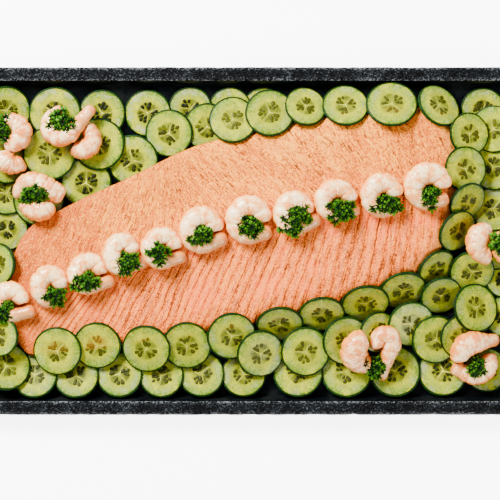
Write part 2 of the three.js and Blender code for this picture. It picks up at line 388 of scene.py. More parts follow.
below = Below()
print("frame read:", len(nodeNames), "nodes")


# the tray: melamine cast to look like split slate

trayLook = {
    "rim": 12.5, "wall": 5, "floor": 5, "corner": 26, "foot": 12, "lip": 5,
    "step": 2.0, "chips": 0.8, "splits": 0.4, "cornerSteps": 12,
    "chipClouds": [(0.5, 9, 1), (0.5, 3.2, 2)], "splitClouds": [(0.6, 6, 3), (0.4, 2.6, 4)],
}


def trayRing(inset, height):  # an oblong with round corners, inset from the outer edge
    look = trayLook
    length, width = (cadHigh[k] / mm - inset for k in (0, 1))
    radius = max(look["corner"] - inset, 4)
    ring = []
    for east, north, start in ((1, 1, 0), (-1, 1, 90), (-1, -1, 180), (1, -1, 270)):
        for k in range(look["cornerSteps"] + 1):
            angle = math.radians(start + 90 / look["cornerSteps"] * k)
            x = east * (length - radius) + radius * math.cos(angle)
            y = north * (width - radius) + radius * math.sin(angle)
            ring.append((x, y, height))
    closed = np.array(ring + ring[:1])
    lengths = lengthsAlong(closed[:, None])
    count = int((cadHigh[0] + cadHigh[1]) * 4 / mm / look["step"])
    marks = np.linspace(0, lengths[-1], count, endpoint=False)
    return np.column_stack([np.interp(marks, lengths, column) for column in closed.T])


def slateMaterial():
    paint = Paint("slate")
    place = paint.place()
    patches = paint.noise(place, 48, 3, 0.6)
    strokes = paint.noise(paint.stretch(place, (0.5, 1.0, 1.0)), 420, 3, 0.65, 2.5)
    specks = paint.noise(place, 650, 2, 0.7)
    loose = patches.ease(0.3, 0.7)
    # paler along the rim's top edges: rubbed wear and painted highlights
    worn = paint.value("worn") * (strokes * 0.5 + specks * 0.5 + loose * 0.06).ease(0.52, 0.6)
    wall = paint.value("smooth")
    tone = paint.layered(
        "#000000", (loose, "#040506"),
        ((strokes + loose * 0.05).ease(0.53, 0.6) * 0.85, "#15181b"),  # raised strokes
        (strokes.ease(0.46, 0.38) * 0.8, "#000000"),  # hollows
        ((specks + loose * 0.08).ease(0.63, 0.71) * 0.85, "#42464a"),  # pale specks
        (worn * 0.6, "#8f9498"),  # rubbed edges, with painted highlights along the rim's top edges
        (wall, paint.mix(patches.ease(0.42, 0.66), "#050709", "#101312")),  # damp smooth inside
    )
    rough = paint.noise(place, 300, 3, 0.6) * 0.3 + 0.5
    height = (strokes + specks * 0.4) * (1 - wall)
    return paint.done(
        Base_Color=tone, Roughness=rough * (1 - wall) + wall * 0.12,
        Normal=paint.bump(height, 1.0, 1.0), Specular_IOR_Level=0.05,
    )


def makeTray():
    look = trayLook
    rim, wall, floor, foot = (look[key] for key in ("rim", "wall", "floor", "foot"))
    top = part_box("tray")[1].z / mm
    lip = top - look["lip"]
    plan = [  # inset, height, how rough the slate is there
        (foot + 14, 0, 0), (foot + 1, 0, 0), (foot, 0.6, 0.3), (foot * 0.7, lip * 0.32, 0.6),
        (foot * 0.35, lip * 0.68, 0.6), (1, lip, 0.7), (0.2, lip + 0.8, 1), (0, lip + 2.2, 1),
        (0, top - 1.6, 1), (0.35, top - 0.6, 1), (1.1, top - 0.1, 1), (3, top, 0.8), (5, top, 0.8),
        (7, top, 0.8), (9, top, 0.8), (rim - 1.4, top - 0.02, 0.5), (rim - 0.2, top - 0.5, 0.3),
        (rim + 0.3, top - 1.4, 0), (rim + wall * 0.5, (top + floor) / 2, 0), (rim + wall - 0.4, floor + 1, 0),
        (rim + wall + 0.6, floor + 0.1, 0), (rim + wall + 12, floor, 0),
    ]
    rings, smooth, worn = [np.zeros((1, 3))], [[1]], [[0]]
    for inset, height, rough in plan:
        ring = trayRing(inset, height)
        outward = unit(ring * (1, 1, 0) / (cadHigh[0], cadHigh[1], 1))
        chips = np.minimum(clouds(ring, *look["chipClouds"]), 0.2) + 0.3
        splits = np.minimum(clouds(ring, *look["splitClouds"]), 0.3)
        ring = ring + outward * (chips * look["chips"] * rough)[:, None]
        ring[:, 2] += splits * look["splits"] * rough
        rings.append(ring)
        smooth.append(np.full(len(ring), rough == 0))
        # the rim's outer and inner top edges, where rubbed wear and painted highlights go
        edges = bell(inset - 0.5, 0.9) + bell(inset - rim + 0.2, 0.9)
        worn.append(np.full(len(ring), edges if height > top - 2 else 0.0))
    points, faces = loft(rings + [np.array([[0, 0, floor]])])
    values = {"smooth": np.concatenate(smooth + [[1]]), "worn": np.concatenate(worn + [[0]])}
    mesh = newMesh("tray_slate", points * mm, faces, values)
    setPiece("tray_slate", mesh, slateMaterial(), ["tray"])


makeTray()
print("tray made")


# cucumber slices

cucumberLook = {
    "thickness": 3.0, "around": 96, "uneven": 0.024, "ripple": 0.4, "droop": 0.5, "gap": 0.2,
    "profile": [  # share of the radius, height under the cut face
        (0.1, -0.12), (0.22, -0.16), (0.34, -0.16), (0.46, -0.1), (0.56, -0.02), (0.68, 0.0), (0.8, 0.0),
        (0.9, -0.02), (0.95, -0.06), (0.982, -0.22), (0.996, -0.55), (1.0, -1.1), (1.0, -2.0),
        (0.99, -2.6), (0.96, -2.92), (0.85, -3.0), (0.4, -3.0),
    ],
    "flesh": [  # share of the radius, colour from the core to the skin
        (0.0, "#a4a418"), (0.3, "#7c8210"), (0.44, "#9aa012"), (0.56, "#9ea210"),
        (0.74, "#789014"), (0.84, "#547a0c"), (0.91, "#2c5404"), (0.935, "#0e2c01"),
    ],
    "below": {"tray": "#030402", "cucumber": "#5c6c0e", "salmon": "#8a600a", "air": "#3a440e"},
    "contact": 4.0,
    "carpels": 3, "carpelSeeds": [(0.21, 0.3), (0.23, -0.34), (0.34, 0.46), (0.35, -0.44), (0.4, 0.02)],
    "missing": 0.15, "seedLength": 5.0, "seedWidth": 3.7, "seedThickness": 0.8, "seedDepth": 0.22,
    "atEdges": {  # slices at the tray's edges that lie under the others: middle, radius, lean towards +X
        "tail": [(-236, -22, 17.5), 20, -38], "front left": [(-234, -89, 25), 19, -22],
        "right": [(239, -71, 8.2), 19.6, 4], "right gap": [(238, -36, 9.0), 17, 5],
    },
}


def backdropUnder(spots):  # the colour that shows faintly through a thin wet slice
    look = cucumberLook
    tints = {kind: np.array(hue(code)[:3]) for kind, code in look["below"].items()}
    colors = []
    for spot in spots:
        gap, kind = below.look(spot)
        near = math.exp(-gap / (look["contact"] * mm))
        colors.append(tints[kind] * near + tints["air"] * (1 - near))
    return np.array(colors)


def sliceSkin(disc, k):  # points, faces and values of one slice
    middle, radius, normal = disc
    look = cucumberLook
    east, north = sliceFrame(normal)
    way = ringWays(look["around"])
    level = np.full((len(way), 1), k)
    wobble = cloud(np.hstack([way * 1.1, level]), 1, 5)
    wobble += look["ripple"] * cloud(np.hstack([way * 3, level]), 1, 6)
    rings = [np.array([[0, 0, -0.1]])]
    for share, depth in look["profile"]:
        reach = share * (1 + look["uneven"] * wobble * share)
        rings.append(np.column_stack([way * reach[:, None], np.full(len(way), depth)]))
    points, faces = loft(rings + [np.array([[0, 0, -look["thickness"]]])])
    flat = points[:, :2]
    lean = math.tau * (k * 0.618 % 1)  # such steps spread leans, turns and tones evenly over the slices
    bend = (flat @ np.array([math.cos(lean), math.sin(lean)])) ** 2
    sag = -look["droop"] * bend * (0.4 + 0.6 * (k * 0.37 % 1)) * ease(np.linalg.norm(flat, axis=1), 0, 1)
    lift = (points[:, 2] + sag) * mm
    spots = middle + radius * (flat[:, :1] * east + flat[:, 1:] * north) + lift[:, None] * normal
    swing = turned(math.tau * ((k * 0.731 + 0.13) % 1))
    values = {
        "cut": np.column_stack([flat @ swing, points[:, 2]]),
        "under": backdropUnder(spots - normal * (look["thickness"] + look["gap"] + points[:, 2:]) * mm),
        "tone": np.full(len(spots), (k * 0.414 + 0.2) % 1),
    }
    return spots, faces, values, swing


def cucumberMaterial():
    paint = Paint("cucumber")
    tone = paint.value("tone")
    under = paint.vector("under")
    flat = paint.stretch(paint.vector("cut"), (1.0, 1.0, 0.0))
    reach = paint.node("VectorMath", {0: flat}, output=1, operation="LENGTH")
    x, y = paint.axis(flat, 0), paint.axis(flat, 1)
    angle = paint.math("ARCTAN2", y, x)
    shifted = paint.combined(x, y, tone * 40)
    spokes = paint.combined(angle * 3.2, reach * 1.6, tone * 40)
    patch = paint.noise(shifted, 1.4, 2, 0.5, 0.4)
    mottle = paint.noise(shifted, 3.2, 3, 0.6, 0.3)
    grainy = paint.noise(shifted, 17, 3, 0.7)
    fine = paint.noise(shifted, 42, 2, 0.7)
    streaks = paint.noise(spokes, 3.4, 3, 0.7)
    edge = reach + (mottle - 0.5) * 0.04
    core = reach.ease(0.5, 0.4)
    outer = reach.ease(0.5, 0.75) * reach.ease(0.95, 0.88)
    bare = paint.axis(under, 1).ease(0.09, 0.01)  # nothing but tray below
    through = core * (0.12 + mottle * 0.5 + bare * 0.2) + mottle.ease(0.35, 0.65) * 0.3 + 0.05
    lines = 0
    for count, width, weight in ((1.5, 0.03, 0.4), (4.5, 0.016, 0.2)):
        spoke = paint.math("SINE", (angle + (mottle - 0.5) * 0.9) * count + 0.4)
        spoke = paint.math("ABSOLUTE", spoke) * reach * (1 / count)
        lines = spoke.ease(width, width * 0.3) * weight + lines
    lines = lines * core * mottle.ease(0.35, 0.6) * (1 + bare * 0.8)
    skin = edge.ease(0.918, 0.94)
    color = paint.layered(
        paint.ramp(edge, cucumberLook["flesh"]),
        (patch.ease(0.5, 0.64) * 0.7, "#b6b60c"),  # yellower patches
        (patch.ease(0.48, 0.32) * outer * 0.6, "#98a05c"),  # greyer patches: the flesh's own mottling, and painted sheen
        (streaks.ease(0.44, 0.64) * outer * 0.45, "#b4bc44"),  # pale rays
        (grainy.ease(0.52, 0.36) * (outer * 0.4 + 0.3), "#284008"),
        # pale specks: the flesh's own speckle, and painted glints
        (fine.ease(0.54, 0.68) * (outer * 0.35 + 0.2), "#e0e460"),
        (bare * mottle.ease(0.5, 0.62) * outer * 0.55, "#c4cc94"),  # painted wet sheen: pale patches on slices over the bare tray
        (through, under),
        (lines, "#c4c440"),  # threads between the seed chambers
        (skin, paint.mix(grainy.ease(0.4, 0.65), "#031400", "#0e3602")),
    )
    color = paint.mix(tone * 0.3, color, "#a9b04a", "MULTIPLY")
    height = grainy * 0.35 + mottle * 0.5 + lines * 0.6 + fine * 0.2
    return paint.done(
        Base_Color=color, Roughness=mottle * 0.25 + 0.12 + skin * 0.3, Normal=paint.bump(height, 0.35, 0.6),
        Coat_Weight=(1 - skin) * 0.12, Coat_Roughness=0.1, Specular_IOR_Level=0.08,
    )


def seedMaterial():
    paint = Paint("cucumber seed")
    cloudy = paint.noise(paint.place(), 600, 2, 0.6)
    middle = (paint.value("rim") + (cloudy - 0.5) * 0.5).ease(0.75, 0.25)
    under = paint.vector("under")
    lit = paint.axis(under, 1).ease(0.01, 0.09)  # nearly black where only the tray is below
    kernel = paint.mix(lit, "#0b0e03", "#4a3c04")
    color = paint.layered(paint.mix(lit, "#020301", "#0e0c00"), (middle, kernel), (0.42, under))
    return paint.done(Base_Color=color, Roughness=0.4, Specular_IOR_Level=0.06)


def makeCucumber():
    discs = []
    for node in nodeNames:
        if node.startswith("cucumber"):
            discs.extend((disc, node) for disc in sliceDiscs(node))
    for place, radius, lean in cucumberLook["atEdges"].values():
        angle = math.radians(lean)
        normal = np.array([math.sin(angle), 0, math.cos(angle)])
        discs.append(((np.array(place) * mm, radius * mm, normal), None))
    print("slices found:", len(discs))
    material = cucumberMaterial()
    seeds, groups = [], {}
    for k, (disc, node) in enumerate(discs):
        *skin, swing = sliceSkin(disc, k)
        groups.setdefault(node, []).append(skin)
        seeds.extend(seedPlaces(disc, swing, k))
    for node, skins in groups.items():
        points, faces = joined(skin[:2] for skin in skins)
        values = {key: np.concatenate([skin[2][key] for skin in skins]) for key in skins[0][2]}
        name = node + "_cut" if node else "cucumber_edge_slices"
        setPiece(name, newMesh(name, points, faces, values), material, [node] if node else ())
    return seeds


def seedPlaces(disc, swing, k):  # where the seeds of one slice lie, and which way they point
    middle, radius, normal = disc
    look = cucumberLook
    east, north = sliceFrame(normal)
    places = list(itertools.product(range(look["carpels"]), look["carpelSeeds"]))
    rows = []
    for n, (carpel, (share, aside)) in enumerate(places):
        number = k * len(places) + n + 1
        lots = [(number * step) % 1 for step in (0.618034, 0.754878, 0.569840, 0.414214)]
        if lots[0] < look["missing"]:
            continue
        angle = math.tau * (carpel + 0.5) / look["carpels"] + aside * (0.9 + 0.25 * lots[1])
        way = np.array([math.cos(angle), math.sin(angle)]) @ swing.T
        heading = way[0] * east + way[1] * north
        spot = middle + radius * share * (0.92 + 0.16 * lots[2]) * heading - look["seedDepth"] * mm * normal
        rows.append((spot, normal, heading, 0.8 + 0.35 * lots[3]))
    return rows


def scatterTree(name):  # stands a shape on every point, turned as the point's own vectors say
    tree = bpy.data.node_groups.new(name, "GeometryNodeTree")
    kinds = {"Geometry": "Geometry", "Shape": "Object", "Material": "Material",
             "Size": "Float", "Spread": "Float", "Seed": "Int"}
    for label, kind in kinds.items():
        tree.interface.new_socket(label, in_out="INPUT", socket_type="NodeSocket" + kind)
    tree.interface.new_socket("Geometry", in_out="OUTPUT", socket_type="NodeSocketGeometry")

    def node(kind, sockets=None, output=0, **settings):
        return addNode(tree, kind, sockets, **settings).outputs[output]

    def reckoned(operation, first, second):
        return node("ShaderNodeMath", {0: first, 1: second}, operation=operation)

    def named(label, kind="FLOAT_VECTOR"):
        return node("GeometryNodeInputNamedAttribute", {"Name": label}, data_type=kind)

    given = addNode(tree, "NodeGroupInput").outputs
    upright = node("FunctionNodeAlignRotationToVector", {"Vector": named("outward")}, axis="Z")
    sockets = {"Rotation": upright, "Vector": named("heading")}
    facing = node("FunctionNodeAlignRotationToVector", sockets, axis="X", pivot_axis="Z")
    least, most = (reckoned(way, 1.0, given["Spread"]) for way in ("SUBTRACT", "ADD"))
    size = node("FunctionNodeRandomValue", {2: least, 3: most, "Seed": given["Seed"]}, 1, data_type="FLOAT")
    size = reckoned("MULTIPLY", reckoned("MULTIPLY", size, named("own", "FLOAT")), given["Size"])
    shape = node("GeometryNodeObjectInfo", {0: given["Shape"]}, "Geometry")
    sockets = {"Points": given["Geometry"], "Instance": shape, "Rotation": facing, "Scale": size}
    real = node("GeometryNodeRealizeInstances", {0: node("GeometryNodeInstanceOnPoints", sockets)})
    painted = node("GeometryNodeSetMaterial", {"Geometry": real, "Material": given["Material"]})
    addNode(tree, "NodeGroupOutput", {0: painted})
    return tree


def scattered(name, rows, shape, material, size, spread, seed, extra=None):
    # a copy of a shape at each row's spot, facing outward with its length along heading
    spots, outward, heading, own = (np.array(column) for column in zip(*rows))
    values = {"outward": outward, "heading": heading, "own": own, **(extra or {})}
    holder = newObject(name, newMesh(name, spots, [], values))
    sample = bpy.data.objects.new(name + " shape", shape)
    tree = scatterTree(name + " scatter")
    modifier = holder.modifiers.new("scatter", "NODES")
    modifier.node_group = tree
    wanted = {"Shape": sample, "Material": material, "Size": size, "Spread": spread, "Seed": seed}
    for item in tree.interface.items_tree:
        if item.in_out == "INPUT" and item.name in wanted:
            modifier[item.identifier] = wanted[item.name]
    graph = bpy.context.evaluated_depsgraph_get()
    mesh = bpy.data.meshes.new_from_object(holder.evaluated_get(graph))
    mesh.name = name
    for used in (holder, sample):
        bpy.data.objects.remove(used)
    return mesh


def seedShape():  # a flat drop, one long, its point towards the middle of the slice
    look = cucumberLook
    size = np.array([look["seedWidth"], look["seedThickness"]]) / look["seedLength"] / 2
    way = ringWays(8)
    rings, rim = [np.array([[-0.5, 0, 0]])], [1.0]
    for x, fill, edge in ((-0.36, 0.42, 0.6), (-0.1, 0.86, 0), (0.18, 1.0, 0), (0.38, 0.72, 0.6)):
        rings.append(np.column_stack([np.full(len(way), x), way * size * fill]))
        rim.extend(np.maximum(np.abs(way[:, 0]), edge))
    points, faces = loft(rings + [np.array([[0.5, 0, 0]])])
    return newMesh("seed", points, faces, {"rim": rim + [1.0]})


def makeSeeds(rows):
    look = cucumberLook
    spots, normals = (np.array([row[k] for row in rows]) for k in (0, 1))
    under = backdropUnder(spots - normals * (look["thickness"] + look["gap"]) * mm)
    size = look["seedLength"] * mm
    mesh = scattered("cucumber_seeds", rows, seedShape(), seedMaterial(), size, 0.15, 3, {"under": under})
    setPiece("cucumber_seeds", mesh, None)
    print("seeds:", len(rows), "with", len(mesh.polygons), "faces")


makeSeeds(makeCucumber())
print("cucumber made")


# skins through the rings of a lofted solid

def ringsOf(node, count):  # the solid's rings of this many points, in order and lined up, and its two poles
    points, triangles = cadTriangles(node)
    near = [set() for _ in points]
    for triangle in triangles:
        for a, b in itertools.permutations(triangle, 2):
            near[a].add(int(b))
    poles = [k for k, own in enumerate(near) if len(own) == count and len(own & near[min(own)]) == 2]
    seen = {poles[0]}
    level = near[poles[0]]
    rings = []
    while len(level) == count:
        seen |= level
        ring = [min(level)]
        while len(ring) < count:
            ring.append(min((near[ring[-1]] & level) - set(ring)))
        ring = points[ring]
        if rings:
            starts = [np.roll(way, k, axis=0) for way in (ring, ring[::-1]) for k in range(count)]
            ring = min(starts, key=lambda way: ((way - rings[-1]) ** 2).sum())
        rings.append(ring)
        level = set().union(*(near[k] for k in level)) - seen
    return np.array(rings), points[poles[0]], points[next(iter(level))]


def curveThrough(knots, times, marks):  # a smooth line through arrays of knots, read at the marks
    steps = np.diff(times).reshape(-1, *[1] * (knots.ndim - 1))
    slopes = np.diff(knots, axis=0) / steps
    inner = (slopes[:-1] * steps[1:] + slopes[1:] * steps[:-1]) / (steps[1:] + steps[:-1])
    slopes = np.concatenate([slopes[:1], inner, slopes[-1:]])
    cell = np.clip(np.searchsorted(times, marks, side="right") - 1, 0, len(times) - 2)
    step = steps[cell]
    part = (marks - times[cell]).reshape(step.shape) / step
    a, b = knots[cell], knots[cell + 1]
    bend = (1 - part) * slopes[cell] - part * slopes[cell + 1]
    chord = (b - a) / step
    return a + (b - a) * part + step * part * (1 - part) * (bend + (2 * part - 1) * chord)


def curveAround(ring, count):  # the same through a closed ring, at evenly counted marks
    size = len(ring)
    knots = np.concatenate([ring[-3:], ring, ring[:4]])
    times = np.arange(-3, size + 4).astype(float)
    return curveThrough(knots, times, np.arange(count) / count * size)


# shrimps, peeled and curled

shrimpLook = {
    "around": 30, "steps": 76, "fuller": 1.03, "garnishFuller": 1.16, "heart": 0.08, "belly": 0.12,
    "creases": [0.13, 0.27, 0.41, 0.55, 0.68, 0.81], "creaseDepth": 0.085, "creaseWidth": 0.014,
    "creaseLean": 0.012, "plate": 0.05, "plateLength": 0.14, "lumps": 0.35,
    "tail": (0.86, 1.04), "flatTail": 0.3,
}


def shrimpSkin(node, k):
    look = shrimpLook
    rings, *poles = ringsOf(node, 7)
    if np.ptp(rings[1], axis=0).max() < np.ptp(rings[-2], axis=0).max():
        rings, poles = rings[::-1], poles[::-1]
    rings = np.array([curveAround(ring, look["around"]) for ring in rings])
    ends = [np.tile(pole, (1, look["around"], 1)) for pole in poles]
    knots = np.concatenate([ends[0], rings, ends[1]])
    centres = knots.mean(axis=1)
    times = lengthsAlong(knots)
    marks = np.linspace(0, times[-1], look["steps"] + 2)
    skin = curveThrough(knots, times, marks)
    middle = curveThrough(centres, times, marks)
    up = np.linalg.svd(centres - centres.mean(axis=0))[2][2]
    up = up * np.sign(up[2])
    side = np.cross(up, unit(np.gradient(middle, axis=0)))
    side = side * np.sign(((centres.mean(axis=0) - middle) * side).sum())
    along = ((marks - times[1]) / (times[-2] - times[1]))[:, None] + np.zeros((1, look["around"]))
    out = skin - middle[:, None]
    reach = np.maximum(np.linalg.norm(out, axis=2), 1e-9)
    inner = (out * side[:, None]).sum(axis=2) / reach
    high = (out * up).sum(axis=2) / reach
    crease, plate = np.zeros_like(along), np.zeros_like(along)
    for place in look["creases"]:
        off = along - place - look["creaseLean"] * inner
        crease += bell(off, look["creaseWidth"])
        plate += np.where((off > 0) & (off < look["plateLength"]), 1 - off / look["plateLength"], 0)
    swell = look["garnishFuller" if node.startswith("garnish") else "fuller"]
    swell += look["heart"] * (node in ("garnish_front_1", "garnish_front_2"))
    swell = swell + look["plate"] * (plate - 0.5) - look["creaseDepth"] * crease * (1 - 0.4 * inner)
    swell = swell + look["belly"] * np.maximum(inner, 0)
    tail = ease(along, *look["tail"])
    spots = skin.reshape(-1, 3) / mm
    lumps = cloud(spots + 31 * k, 5, 7) * 0.7 + cloud(spots, 2.2, 8) * 0.3
    swell = swell * reach + lumps.reshape(reach.shape) * look["lumps"] * mm * (reach > 1e-6)
    swell = swell * (1 - look["flatTail"] * tail * np.abs(high))
    skin = middle[:, None] + out / reach[..., None] * swell[..., None]
    lines = crease * ease(inner, -0.5, 0.4) * ease(high, -0.2, 0.7)
    # the inner side and the underside: painted shade, mixed into the blush of the creases and the tail
    sides = ease(inner, 0.25, 0.95) * ease(high, 0.9, 0.0) * 0.8 + ease(high, -0.1, -0.8) * 0.7
    points, faces = loft([skin[0][:1], *skin[1:-1], skin[-1][:1]])
    blushAndShade = np.clip(lines * 0.9 + sides + tail, 0, 1)
    values = {"blushAndShade": blushAndShade, "high": high, "inner": np.clip(inner, 0, 1), "along": along}
    values = {key: numbers.ravel()[look["around"] - 1:1 - look["around"]] for key, numbers in values.items()}
    values["own"] = np.full(len(points), k * 0.618 % 1)
    values["warm"] = np.full(len(points), node.startswith("garnish"))
    return points, faces, values


def shrimpMaterial():
    paint = Paint("shrimp")
    place = paint.place()
    own, high, warm, inner = map(paint.value, ("own", "high", "warm", "inner"))
    broad = paint.noise(place, 130, 2, 0.6)
    fine = paint.noise(place, 480, 3, 0.65)
    pale = paint.mix(warm, "#faa83c", "#f2962e")
    deep = paint.mix(warm, "#f28a26", "#dc6e12")
    # cream on the upward faces: painted highlight
    topHighlight = high.ease(0.05, 0.8) * ((broad + fine * 0.6).ease(0.94, 0.7) * 0.8 + 0.14)
    blushAndShade = paint.value("blushAndShade") * (fine + 0.4) + broad.ease(0.6, 0.8) * own * 0.25
    color = paint.layered(
        paint.mix(broad.ease(0.38, 0.62), pale, deep),
        (topHighlight * (0.8 - warm * 0.05), paint.mix(warm, "#ffe8b4", "#ffe6b0")),
        (paint.value("along").ease(0.5, 0.85) * (1 - warm * 0.5) * 0.9, "#b87c44"),  # duller tail: its own duller tone, and painted shade towards the tail
        # blush of the creases and the tail, with painted shade on the inner side and the underside
        (blushAndShade.ease(0.15, 0.9) * 0.9, "#c8601c"),
        (fine.ease(0.58, 0.7) * 0.35, "#e08a3c"),
        (inner.ease(-0.2, 0.6) * (warm * 0.35 + 0.4) * broad.ease(0.3, 0.56), "#e8801c"),
        # painted shade inside the curl
        (inner.ease(0.55, 0.95) * 0.7, "#b85c1c"),
    )
    return paint.done(
        Base_Color=color, Roughness=broad * 0.25 + 0.14, Normal=paint.bump(fine * 0.5 + broad, 0.5, 0.4),
        Coat_Weight=0.3, Coat_Roughness=0.08, Specular_IOR_Level=0.25,
    )


def makeShrimps():
    material = shrimpMaterial()
    for k, node in enumerate(name for name in nodeNames if name.startswith(("shrimp", "garnish"))):
        mesh = newMesh(node + "_peeled", *shrimpSkin(node, k))
        setPiece(node + "_peeled", mesh, material, [node])


makeShrimps()
print("shrimps made")


# the side of salmon

salmonLook = {
    "around": 1150, "inner": 44, "flank": 13,
    "groove": 0.75, "grooveWidth": 0.12, "lumps": 0.5, "grain": 0.2, "crust": 0.35, "strokes": 1.4,
    "pitch": 8.5, "widening": 0.005, "weakLines": 0.3, "seam": 0.7, "spine": 0.85, "beyond": 60,
    "lowerLean": [(-145, 1.0), (-56, 0.58), (0, 0.49), (100, 0.27), (165, 0.07)],
    "upperLean": [(-190, 0.5), (-135, 0.45), (-98, 0.2), (-20, -0.7), (47, -0.95), (93, -0.75), (177, -0.3)],
    "bareRim": (20, 8), "upperLines": {"inset": (10, 26), "middle": -5, "reach": 75, "share": 0.3},
    "crustFades": (4, 16), "strokeStretch": 0.3,
    # each cloud is a weight, a size and a seed
    "waver": [(0.3, 30, 11), (0.14, 13, 21), (0.06, 4.5, 12)],
    "lineClouds": [(0.35, 22, 14), (0.2, 6, 22)],
    "lumpClouds": [(1, 26, 15), (0.5, 11, 16)],
    "grainClouds": [(1, 2.4, 18), (0.7, 1.4, 19)],
    # from the darkest spots of the flesh to the palest
    "toneStops": (0.22, 0.34, 0.43, 0.5, 0.57, 0.66, 0.78),
    "upper": ("#5c2402", "#a64e02", "#cc6404", "#e67406", "#f88208", "#fd9210", "#fdac2c"),
    "lower": ("#501e02", "#964004", "#bc5006", "#da5e08", "#f06a0a", "#fd7810", "#fd9428"),
}


def shrimpLine(x):  # how far back the row of shrimps lies, at each place along the fish
    middles = sorted(tuple(middleOf(name)) for name in nodeNames if name.startswith("shrimp_"))
    xs, ys = np.array(middles).T
    slope = (ys[-1] - ys[0]) / (xs[-1] - xs[0])
    beyond = salmonLook["beyond"]
    xs = np.concatenate([[xs[0] - beyond], xs, [xs[-1] + beyond]])
    ys = np.concatenate([[ys[0] - beyond * slope], ys, [ys[-1] + beyond * slope]])
    return np.interp(x, xs, ys)


def flakePlaces(x, y, lean):  # where the line of flakes through a spot meets the shrimp row
    away = shrimpLine(x) - y
    start = x
    places, leans = zip(*lean)
    for _ in range(4):
        start = x + away * np.interp(start, places, leans)
    return start


def salmonSkin():
    look = salmonLook
    rings, *_ = ringsOf("salmon", 56)
    if rings[0][:, 2].mean() > rings[-1][:, 2].mean():
        rings = rings[::-1]
    rings = np.array([curveAround(ring, look["around"]) for ring in rings])
    foot, undercut, flank, inner = rings[0], rings[1], rings[2:7], rings[6:]
    spine = inner[0] + (inner[-1] - inner[0]) / look["spine"]
    spine[:, 2] = inner[-1][:, 2]
    top = np.concatenate([flank, inner[1:], spine[None]])
    times = lengthsAlong(top)
    marks = np.concatenate([
        np.linspace(0, times[4], look["flank"], endpoint=False),
        np.linspace(times[4], times[-1], look["inner"]),
    ])
    points, faces = loft([foot.mean(axis=0)[None], foot, undercut, *curveThrough(top, times, marks)])
    return points, faces, marks


def makeSalmon():
    look = salmonLook
    points, faces, marks = salmonSkin()
    mesh = newMesh("salmon_side", points, faces)
    normals = np.array([normal.vector for normal in mesh.vertex_normals])
    bpy.data.meshes.remove(mesh)
    spots = points / mm
    x, y, _ = spots.T
    middle = shrimpLine(x)
    lower = ease(middle - y, -3, 3)
    inset = np.concatenate([[99], np.zeros(2 * look["around"]) - 5, np.repeat(marks / mm, look["around"])])
    lowStart = flakePlaces(x, y, look["lowerLean"])
    upStart = flakePlaces(x, y, look["upperLean"])
    phase = lowStart / look["pitch"] * (1 - look["widening"] / 2 * lowStart / look["pitch"])
    phase = np.where(lower > 0.5, phase, upStart / look["pitch"])
    phase += clouds(spots, *look["waver"])
    width, uneven = look["bareRim"]  # grooves fade out towards the edge
    rim = width + uneven * cloud(np.column_stack([x, x * 0, x * 0]), 50, 13)
    clear = lower * ease(inset, rim * 0.45, rim)
    few = look["upperLines"]
    clear += (1 - lower) * ease(inset, *few["inset"]) * bell(x - few["middle"], few["reach"]) * few["share"]
    line = look["weakLines"] + (1 - look["weakLines"]) * luck(np.round(phase), 1)
    line = line * (0.75 + clouds(spots, *look["lineClouds"]))
    groove = bell(np.abs(phase - np.round(phase)), look["grooveWidth"]) * clear * line
    rough = look["lumps"] * clouds(spots, *look["lumpClouds"])
    fibre = np.column_stack([upStart, (y - middle) * look["strokeStretch"], x * 0])
    strokes = look["strokes"] * cloud(fibre, 2.6, 17) * (1 - lower)
    grain = look["grain"] * (clouds(spots, *look["grainClouds"]) + strokes)
    crust = look["crust"] * cloud(spots, 3.0, 20) * (1 - ease(inset, *look["crustFades"]))
    move = ease(inset, -2, 1) * (rough + grain + crust - look["groove"] * groove)
    points = points + normals * (move * mm)[:, None]
    values = {
        "phase": phase, "clear": clear, "lower": lower, "inset": inset,
        "fibre": np.column_stack([upStart, y - middle, lowStart]) / 100,
        "fat": fatPatches(x, y, inset), "orangeAndEdgeShade": deeperOrangeAndEdgeShade(x, inset, lower),
        "line": np.clip(line, 0, 1), "own": luck(np.floor(phase), 2),
    }
    mesh = newMesh("salmon_side", points, faces, values)
    closeSeam(mesh, look["around"], look["seam"] * mm)
    setPiece("salmon_side", mesh, salmonMaterial(), ["salmon"])
    print("salmon faces:", len(mesh.polygons))


def luck(numbers, seed):  # a whole number's own share from 0 to 1
    return np.modf(np.abs(np.sin(numbers * 12.9898 + seed * 78.233)) * 43758.5453)[0]


def closeSeam(mesh, count, nearest):  # joins the last ring's two sides where they meet in a line
    solid = bmesh.new()
    solid.from_mesh(mesh)
    solid.verts.ensure_lookup_table()
    seam = solid.verts[len(solid.verts) - count:]
    bmesh.ops.remove_doubles(solid, verts=seam, dist=nearest)
    solid.to_mesh(mesh)
    solid.free()


def fatPatches(x, y, inset):  # paler fatty flesh along the thick end and the back edge
    thickEnd = ease(x, 120, 185) * ease(inset, 26, 6)
    backEdge = bell(inset - 2, 7) * ease(x, 20, 90) * ease(y, 60, 100)
    frontEdge = bell(inset - 3, 6) * ease(x, 60, 150) * ease(y, 20, -20)
    return np.clip(thickEnd * 0.7 + backEdge * 0.6 + frontEdge * 0.6, 0, 1)


def deeperOrangeAndEdgeShade(x, inset, lower):  # deeper orange at the tail and at the thick end, and painted shade along the tail's edge and the back edge
    tail = ease(x, -110, -205) * 0.8 + ease(x, -190, -215) * ease(inset, 12, 0) * 0.3
    return tail + (ease(x, -30, -140) * ease(inset, 34, 6) * 0.45 + ease(x, 90, 170) * 0.2) * (1 - lower)


